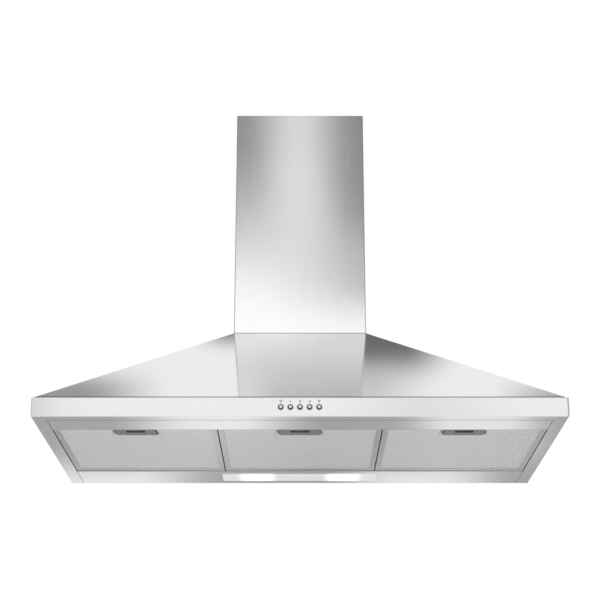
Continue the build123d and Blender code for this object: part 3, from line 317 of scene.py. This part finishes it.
def rolled_aluminium(name):
    """Satin aluminium of the filter frames, its edges lightened partly as wear and partly as painted
    highlight.
    """
    surface = Surface(name, metallic=1.0)
    streaks = surface.noise(1.0, detail=4.0, stretch=(700.0, 20.0, 700.0))
    round_normal, edge = surface.edges()
    tone = surface.blend(surface.remap(streaks, 0.0, 1.0), FRAME_ALUMINIUM_SHADE, FRAME_ALUMINIUM)
    # edges lightened, partly as wear and partly as painted highlight
    tone = surface.blend(surface.math("MULTIPLY", edge, 0.5), tone, (0.92, 0.92, 0.92))
    rough = surface.remap(streaks, *FRAME_ROUGHNESS)
    return surface.finish(tone, rough, surface.relief(streaks, 0.00002, 0.5, round_normal))


def stretched_aluminium(name):
    """Slit and stretched aluminium of the filter mesh: bright cut edges, faint cooking haze."""
    surface = Surface(name, metallic=0.2)
    slits = surface.noise(1.0, detail=3.0, stretch=(900.0, 120.0, 900.0))
    haze = surface.noise(18.0, detail=4.0)
    tone = surface.blend(surface.remap(slits, 0.0, 1.0), (0.69, 0.69, 0.69), (0.77, 0.77, 0.77))
    tone = surface.blend(surface.remap(haze, 0.0, 0.10), tone, (0.56, 0.55, 0.53))
    rough = surface.remap(slits, 0.36, 0.48)
    return surface.finish(tone, rough, surface.relief(slits, 0.00004, 0.5))


def moulded_plastic(name, light, shade, roughness, recess_shade=None):
    """Injection-moulded plastic: fine spark texture, faint flow clouds, and edges lightened partly as
    scuffs and partly as painted highlight.

    With a recess, what lies deep in a pocket gets painted shade and keeps only that share of its
    colour.
    """
    surface = Surface(name)
    spark = surface.noise(SPARK_SCALE, detail=2.0)
    clouds = surface.noise(30.0, detail=3.0)
    round_normal, edge = surface.edges()
    tone = surface.blend(surface.remap(clouds, 0.0, 1.0), shade, light)
    # edges lightened, partly as scuffs and partly as painted highlight
    scuffed_and_highlit = tuple(min(1.0, channel * 1.25 + 0.03) for channel in light)
    tone = surface.blend(surface.math("MULTIPLY", edge, 0.5), tone, scuffed_and_highlit)
    # painted shade deep in the handle's pocket
    if recess_shade is not None:
        tone = surface.darken(tone, surface.crevice_shade(recess_shade, HANDLE_RECESS))
    rough = surface.math("ADD", surface.remap(spark, *roughness), surface.remap(clouds, -0.02, 0.03))
    return surface.finish(tone, rough, surface.relief(spark, SPARK_DEPTH, 0.6, round_normal))


def chrome_with_shaded_skirt(name, face, skirt_shade):
    """Chrome plating with faint wipe marks, and painted shade where its surface turns away from the
    front.
    """
    surface = Surface(name, metallic=1.0)
    wipes = surface.noise(1.0, detail=3.0, stretch=(300.0, 900.0, 2500.0))
    clouds = surface.noise(260.0, detail=2.0)
    normal = surface.node("ShaderNodeNewGeometry").outputs["Normal"]
    front = surface.node("ShaderNodeSeparateXYZ", {"Vector": normal}).outputs["Y"]
    # painted shade where the surface turns away from the front
    skirt_shade_mask = surface.remap(front, 0.0, 1.0, -0.97, -0.80)
    bright = tuple(1.08 * channel for channel in face)
    tone = surface.blend(surface.remap(clouds, 0.0, 1.0), face, bright)
    tone = surface.blend(skirt_shade_mask, tone, skirt_shade)
    rough = surface.math("ADD", surface.remap(wipes, 0.05, 0.11), surface.remap(clouds, 0.0, 0.03))
    round_normal, _ = surface.edges(FINE_EDGE_RADIUS)
    return surface.finish(tone, rough, surface.relief(wipes, 0.000005, 0.3, round_normal))


def turned_steel(name):
    """Bright plated steel of shafts, pins and screws."""
    surface = Surface(name, metallic=1.0)
    rings = surface.noise(1.0, detail=4.0, stretch=(1800.0, 300.0, 300.0))
    tone = surface.blend(surface.remap(rings, 0.0, 1.0), (0.50, 0.50, 0.50), (0.68, 0.68, 0.67))
    rough = surface.remap(rings, 0.22, 0.36)
    round_normal, _ = surface.edges(FINE_EDGE_RADIUS)
    return surface.finish(tone, rough, surface.relief(rings, 0.00001, 0.5, round_normal))


def frosted_lens(name):
    """Frosted cover with the glow of the two lamps behind it."""
    surface = Surface(name)
    fine = surface.noise(2600.0, detail=2.0)
    spread = surface.node("ShaderNodeSeparateXYZ", {"Vector": surface.place})
    glows = []
    for lamp in ("lamp_left", "lamp_right"):
        low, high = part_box(lamp)
        centre = GLOW_INWARD * (low.x + high.x) / 2
        half = (high.x - low.x) / 2
        offset = surface.math("ABSOLUTE", surface.math("SUBTRACT", spread.outputs["X"], centre), 0.0)
        glows.append(surface.remap(offset, 1.0, 0.0, GLOW_CORE * half, GLOW_REACH * half))
    glow = surface.math("MAXIMUM", glows[0], glows[1])
    strength = surface.remap(glow, GLOW_LEAST, GLOW_MOST, 0.0, 1.0)
    surface.shader.inputs["Emission Color"].default_value = (1.0, 0.995, 0.98, 1.0)
    surface.tree.links.new(strength, surface.shader.inputs["Emission Strength"])
    tone = surface.blend(surface.remap(fine, 0.0, 1.0), (0.78, 0.78, 0.77), (0.86, 0.86, 0.85))
    rough = surface.remap(fine, 0.32, 0.48)
    return surface.finish(tone, rough, surface.relief(fine, 0.00002, 0.6))


def opal_glass(name):
    """White glass of the lamps, with a slight inner glow."""
    surface = Surface(name, Emission_Color=(1.0, 0.97, 0.9, 1.0), Emission_Strength=0.5)
    milk = surface.noise(90.0, detail=3.0)
    tone = surface.blend(surface.remap(milk, 0.0, 1.0), (0.84, 0.83, 0.79), (0.93, 0.92, 0.88))
    rough = surface.remap(milk, 0.12, 0.2)
    return surface.finish(tone, rough, surface.relief(milk, 0.00004, 0.2))


def printed_ink(name):
    """Grey screen-printed ink."""
    surface = Surface(name)
    dots = surface.noise(5200.0, detail=2.0)
    tone = surface.blend(surface.remap(dots, 0.0, 1.0), (0.07, 0.07, 0.07), (0.11, 0.11, 0.11))
    rough = surface.remap(dots, 0.45, 0.6)
    return surface.finish(tone, rough, surface.relief(dots, 0.00001, 0.5))


# ---- sheets with lines of painted shade along their joins and corners: what brushed_steel takes after the name ----
canopy_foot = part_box("canopy_front")[0].z
cover_low, cover_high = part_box("lower_chimney")
rim_low, rim_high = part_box("rim_front")
SHADED_SEAMS = {
    "canopy_front": (
        "X",
        [("Z", canopy_foot, 0.0042, 0.28)],
        CANOPY_ROUGHNESS,
        LIT_CANOPY_STEEL,
        LIT_CANOPY_STEEL_SHADE,
    ),
    "lower_chimney": (
        "Z",
        [
            ("Z", cover_low.z, 0.0020, 0.55),
            ("X", cover_low.x, 0.0026, 0.50),
            ("X", cover_high.x, 0.0026, 0.50),
        ],
        COVER_ROUGHNESS,
    ),
    "rim_front": ("X", [("X", rim_low.x, 0.0022, 0.80), ("X", rim_high.x, 0.0034, 0.45)]),
    "front_strip": ("X", [("Y", STRIP_SEAM_Y, 0.0050, 0.65)]),
}

# ---- moulded parts: light colour, shade colour, roughness, share kept under painted shade deep in a pocket ----
PLASTICS = {
    "handle_plastic": ((0.165, 0.165, 0.165), (0.14, 0.14, 0.14), (0.42, 0.56), HANDLE_RECESS_SHADE_KEEPS),
    "latch_plastic": ((0.045, 0.045, 0.045), (0.03, 0.03, 0.03), (0.4, 0.55)),
    "holder_plastic": ((0.06, 0.06, 0.06), (0.04, 0.04, 0.04), (0.4, 0.55)),
    "switch_plastic": ((0.05, 0.05, 0.05), (0.035, 0.035, 0.035), (0.42, 0.58)),
    "housing_plastic": ((0.30, 0.31, 0.32), (0.25, 0.26, 0.27), (0.45, 0.6)),
    "impeller_plastic": ((0.07, 0.07, 0.07), (0.05, 0.05, 0.05), (0.4, 0.55)),
    "collar_plastic": ((0.055, 0.055, 0.055), (0.04, 0.04, 0.04), (0.42, 0.56)),
    "box_plastic": ((0.76, 0.76, 0.73), (0.70, 0.70, 0.67), (0.42, 0.55)),
    "terminal_plastic": ((0.85, 0.85, 0.82), (0.78, 0.78, 0.75), (0.35, 0.5)),
    "capacitor_case": ((0.80, 0.80, 0.78), (0.74, 0.74, 0.72), (0.22, 0.32)),
}

# ---- the finish of each material slot in the record ----
FINISHES = {
    "stainless": {axis: brushed_steel(f"stainless_{axis.lower()}", axis) for axis in "XYZ"},
    "seam_shaded": {node: brushed_steel(f"stainless_{node}", *row) for node, row in SHADED_SEAMS.items()},
    "galvanised": galvanised("galvanised"),
    "motor_metal": galvanised("motor_metal"),
    "filter_aluminium": rolled_aluminium("filter_aluminium"),
    "filter_mesh": stretched_aluminium("filter_mesh"),
    "lens_plastic": frosted_lens("lens_plastic"),
    "lamp_glass": opal_glass("lamp_glass"),
    "chrome_trim": chrome_with_shaded_skirt("chrome_trim", (0.76, 0.76, 0.765), (0.09, 0.09, 0.09)),
    # painted dark reflection: the button bezels are near-black chrome
    "bezel": chrome_with_shaded_skirt("bezel", (0.20, 0.20, 0.20), (0.07, 0.07, 0.07)),
    "plain_steel": turned_steel("plain_steel"),
}
for plastic, row in PLASTICS.items():
    FINISHES[plastic] = moulded_plastic(plastic, *row)
GRAIN_AXES = {
    "canopy_side_left": "Y",
    "canopy_side_right": "Y",
    "rim_side_left": "Y",
    "rim_side_right": "Y",
    "upper_chimney": "Z",
}


def dress_nodes():
    """Give each CAD node the material of its slot in the record."""
    for row in frame["record"]["subparts"]:
        material = FINISHES[row["material_slot"]]
        if row["node"] in SHADED_SEAMS:
            material = FINISHES["seam_shaded"][row["node"]]
        elif isinstance(material, dict):
            material = material[GRAIN_AXES.get(row["node"], "X")]
        if row["node"] == "button_bezels":
            material = FINISHES["bezel"]
        mesh = frame["nodes"][row["node"]].data
        mesh.materials.clear()
        mesh.materials.append(material)


# ---- pieces the scene adds ----
def add_strip(vertices, faces, sections):
    """Closed strip through a row of sections with four corners each."""
    start = len(vertices)
    last = start + 4 * (len(sections) - 1)
    for corners in sections:
        vertices.extend(corners)
    for first in range(start, last, 4):
        for side in range(4):
            other = (side + 1) % 4
            faces.append((first + side, first + other, first + 4 + other, first + 4 + side))
    faces.append((start, start + 1, start + 2, start + 3))
    faces.append((last, last + 1, last + 2, last + 3))


def add_piece(name, vertices, faces, material, body):
    """Piece made from a list of faces, riding on a CAD body."""
    mesh = bpy.data.meshes.new(name)
    mesh.from_pydata(vertices, [], faces)
    solid = bmesh.new()
    solid.from_mesh(mesh)
    bmesh.ops.recalc_face_normals(solid, faces=solid.faces)
    solid.to_mesh(mesh)
    solid.free()
    mesh.materials.append(material)
    piece = bpy.data.objects.new(name, mesh)
    bpy.context.scene.collection.objects.link(piece)
    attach(piece, body)


# ---- outer sheet of each filter ----
def diamond_sheet(side):
    """Two families of slanted strands under the pleats, cut round the handle."""
    low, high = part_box(f"filter_mesh_{side}")
    handle_low, handle_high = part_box(f"filter_handle_{side}")
    depth = high.y - low.y
    vertices = []
    faces = []
    for lean, width, drop in STRAND_FAMILIES:
        slope = lean * STRAND_SLANT
        reach = abs(slope) * depth
        half = width / 2
        level = low.z - drop
        count = int((high.x - low.x + reach) / STRAND_PITCH)
        for index in range(1, count + 1):
            foot = low.x + index * STRAND_PITCH - (reach if lean > 0 else 0.0)
            sides = (low.x + half, high.x - half)
            at_sides = sorted(low.y + (edge - foot) / slope for edge in sides)
            front = max(low.y, at_sides[0])
            rear = min(high.y, at_sides[1])
            meets = [foot + slope * (y - low.y) for y in (front, handle_high.y)]
            beside = max(meets) <= handle_low.x - half or min(meets) >= handle_high.x + half
            if front < handle_high.y and not beside:
                front = handle_high.y + half
            if rear - front < width:
                continue
            sections = []
            for y in (front, rear):
                x = foot + slope * (y - low.y)
                corners = ((x - half, level), (x + half, level))
                corners += tuple((at, top + STRAND_THICKNESS) for at, top in reversed(corners))
                sections.append([(at, y, z) for at, z in corners])
            add_strip(vertices, faces, sections)
    material = FINISHES["filter_mesh"]
    add_piece(f"filter_diamonds_{side}", vertices, faces, material, f"{side}_filter")


# ---- printed legends over the buttons ----
def arc(centre, radius, start, end, squeeze=1.0):
    """Points on an arc, from start to end degrees; squeeze narrows it sideways."""
    points = []
    for step in range(ARC_STEPS + 1):
        angle = math.radians(start + (end - start) * step / ARC_STEPS)
        across = centre[0] + radius * squeeze * math.cos(angle)
        points.append((across, centre[1] + radius * math.sin(angle)))
    return points


# Strokes of each mark in a cell one unit high, in the order of the buttons.
GLYPHS = {
    "button_off": [arc((0.0, 0.0), 0.46, 0, 360, 0.62)],
    "button_low": [[(-0.17, 0.27), (0.04, 0.46), (0.04, -0.46)]],
    "button_medium": [arc((0.0, 0.20), 0.26, 165, -38) + [(-0.27, -0.46), (0.29, -0.46)]],
    "button_high": [arc((-0.02, 0.22), 0.24, 145, -90), arc((-0.02, -0.22), 0.24, 90, -145)],
    "button_light": [
        arc((0.0, 0.14), 0.30, -62, 242),
        [(-0.15, -0.26), (0.15, -0.26)],
        [(-0.11, -0.42), (0.11, -0.42)],
    ],
}


def ribbon(points, width):
    """Both edges of a flat stroke of even width, point by point."""
    edges = []
    for index, point in enumerate(points):
        before = Vector(points[max(index - 1, 0)])
        after = Vector(points[min(index + 1, len(points) - 1)])
        along = (after - before).normalized()
        side = Vector((-along.y, along.x)) * width / 2
        edges.append((Vector(point) + side, Vector(point) - side))
    return edges


def print_legend(node, strokes, ink):
    """Thin raised print on the band, centred over its button."""
    low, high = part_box(node)
    centre = (low.x + high.x) / 2
    vertices = []
    faces = []
    back = LEGEND_Y + LEGEND_PROUD
    for stroke in strokes:
        sections = []
        scaled = [(x * LEGEND_HEIGHT, y * LEGEND_HEIGHT) for x, y in stroke]
        for pair in ribbon(scaled, LEGEND_STROKE):
            (near_x, near_z), (far_x, far_z) = [(centre + edge.x, LEGEND_Z + edge.y) for edge in pair]
            front_edge = [(near_x, LEGEND_Y, near_z), (far_x, LEGEND_Y, far_z)]
            sections.append(front_edge + [(far_x, back, far_z), (near_x, back, near_z)])
        add_strip(vertices, faces, sections)
    add_piece(f"legend_{node}", vertices, faces, ink, "root")


# ---- studio ----
def floor_paint():
    """Pale matt paint that reads as white to the camera and keeps the shadows on it."""
    surface = Surface("floor_paint", Roughness=0.9, Emission_Color=(1.0, 1.0, 1.0, 1.0))
    mottle = surface.noise(2.0, detail=2.0)
    path = surface.node("ShaderNodeLightPath")
    seen = surface.math("MAXIMUM", path.outputs["Is Camera Ray"], path.outputs["Is Glossy Ray"])
    seen = surface.math("MAXIMUM", seen, path.outputs["Is Transmission Ray"])
    lift = surface.math("MULTIPLY", seen, FLOOR_LIFT)
    surface.tree.links.new(lift, surface.shader.inputs["Emission Strength"])
    shade = tuple(FLOOR_MOTTLE * channel for channel in FLOOR_COLOUR)
    return surface.finish(surface.blend(mottle, shade, FLOOR_COLOUR))


def build_world():
    """White to the camera and in reflections, dimmer as a light on matt surfaces."""
    world = bpy.data.worlds.new("studio")
    bpy.context.scene.world = world
    world.use_nodes = True
    tree = world.node_tree
    background = tree.nodes["Background"]
    background.inputs["Color"].default_value = (1.0, 1.0, 1.0, 1.0)
    path = tree.nodes.new("ShaderNodeLightPath")
    seen = tree.nodes.new("ShaderNodeMath")
    seen.operation = "MAXIMUM"
    tree.links.new(path.outputs["Is Camera Ray"], seen.inputs[0])
    tree.links.new(path.outputs["Is Glossy Ray"], seen.inputs[1])
    through = tree.nodes.new("ShaderNodeMath")
    through.operation = "MAXIMUM"
    tree.links.new(seen.outputs[0], through.inputs[0])
    tree.links.new(path.outputs["Is Transmission Ray"], through.inputs[1])
    level = tree.nodes.new("ShaderNodeMapRange")
    level.inputs["To Min"].default_value = WORLD_DIFFUSE
    level.inputs["To Max"].default_value = 1.0
    tree.links.new(through.outputs[0], level.inputs["Value"])
    tree.links.new(level.outputs["Result"], background.inputs["Strength"])


def build_floor():
    """Large pale floor, well below the hood."""
    half = FLOOR_SIZE / 2
    mesh = bpy.data.meshes.new("floor")
    signs = ((-1, -1), (1, -1), (1, 1), (-1, 1))
    mesh.from_pydata([(x * half, y * half, FLOOR_Z) for x, y in signs], [], [(0, 1, 2, 3)])
    floor = bpy.data.objects.new("floor", mesh)
    bpy.context.scene.collection.objects.link(floor)
    mesh.materials.append(floor_paint())


def softbox(name, place, aim, size, power):
    """Square area lamp that faces a point."""
    lamp = bpy.data.lights.new(name, "AREA")
    lamp.shape = "SQUARE"
    lamp.size = size
    lamp.energy = power
    light = bpy.data.objects.new(name, lamp)
    light.location = place
    light.rotation_euler = (Vector(aim) - Vector(place)).to_track_quat("-Z", "Y").to_euler()
    light.visible_camera = False
    light.visible_glossy = False
    bpy.context.scene.collection.objects.link(light)


def soft_edge(surface, distance, inner, outer):
    """1 within the inner distance, 0 beyond the outer one, smooth between."""
    away = surface.math("ABSOLUTE", distance, 0.0)
    return surface.remap(away, 1.0, 0.0, inner, outer)


def studio_flag(name, y, centre, inner, outer, level):
    """Soft-edged upright card that only reflections show: level 0 is black and 1 is white."""
    half_x, half_z = outer
    mesh = bpy.data.meshes.new(name)
    signs = ((-1, -1), (1, -1), (1, 1), (-1, 1))
    mesh.from_pydata([(x * half_x, 0, z * half_z) for x, z in signs], [], [(0, 1, 2, 3)])
    card = bpy.data.objects.new(name, mesh)
    card.location = (centre[0], y, centre[1])
    bpy.context.scene.collection.objects.link(card)
    surface = Surface(f"{name}_cloth")
    across = surface.node("ShaderNodeSeparateXYZ", {"Vector": surface.place})
    cover = surface.math(
        "MULTIPLY",
        soft_edge(surface, across.outputs["X"], inner[0], outer[0]),
        soft_edge(surface, across.outputs["Z"], inner[1], outer[1]),
    )
    glow = surface.node("ShaderNodeEmission", values={"Strength": level})
    clear = surface.node("ShaderNodeBsdfTransparent")
    mixed = surface.node("ShaderNodeMixShader", {"Fac": cover})
    surface.tree.links.new(clear.outputs[0], mixed.inputs[1])
    surface.tree.links.new(glow.outputs[0], mixed.inputs[2])
    output = surface.tree.nodes["Material Output"]
    surface.tree.links.new(mixed.outputs[0], output.inputs["Surface"])
    mesh.materials.append(surface.material)
    card.visible_camera = False
    card.visible_diffuse = False
    card.visible_transmission = False
    card.visible_shadow = False


def build_camera():
    """Unshifted camera at the photograph's place and angle."""
    lens = bpy.data.cameras.new("camera")
    lens.sensor_width = SENSOR
    lens.lens = CAMERA_LENS
    camera = bpy.data.objects.new("camera", lens)
    camera.location = CAMERA_PLACE
    camera.rotation_euler = (math.radians(90.0 + CAMERA_PITCH), 0.0, 0.0)
    bpy.context.scene.collection.objects.link(camera)
    bpy.context.scene.camera = camera


dress_nodes()
for filter_side in ("left", "centre", "right"):
    diamond_sheet(filter_side)
legend_ink = printed_ink("legend_ink")
for button, marks in GLYPHS.items():
    print_legend(button, marks, legend_ink)
build_world()
build_floor()
softbox("key_light", KEY_PLACE, KEY_AIM, KEY_SIZE, KEY_POWER)
softbox("fill_light", FILL_PLACE, FILL_AIM, FILL_SIZE, FILL_POWER)
softbox("under_light", UNDER_PLACE, UNDER_AIM, UNDER_SIZE, UNDER_POWER)
for flag in FLAGS:
    studio_flag(*flag)
build_camera()
bpy.context.scene.view_settings.view_transform = "Standard"
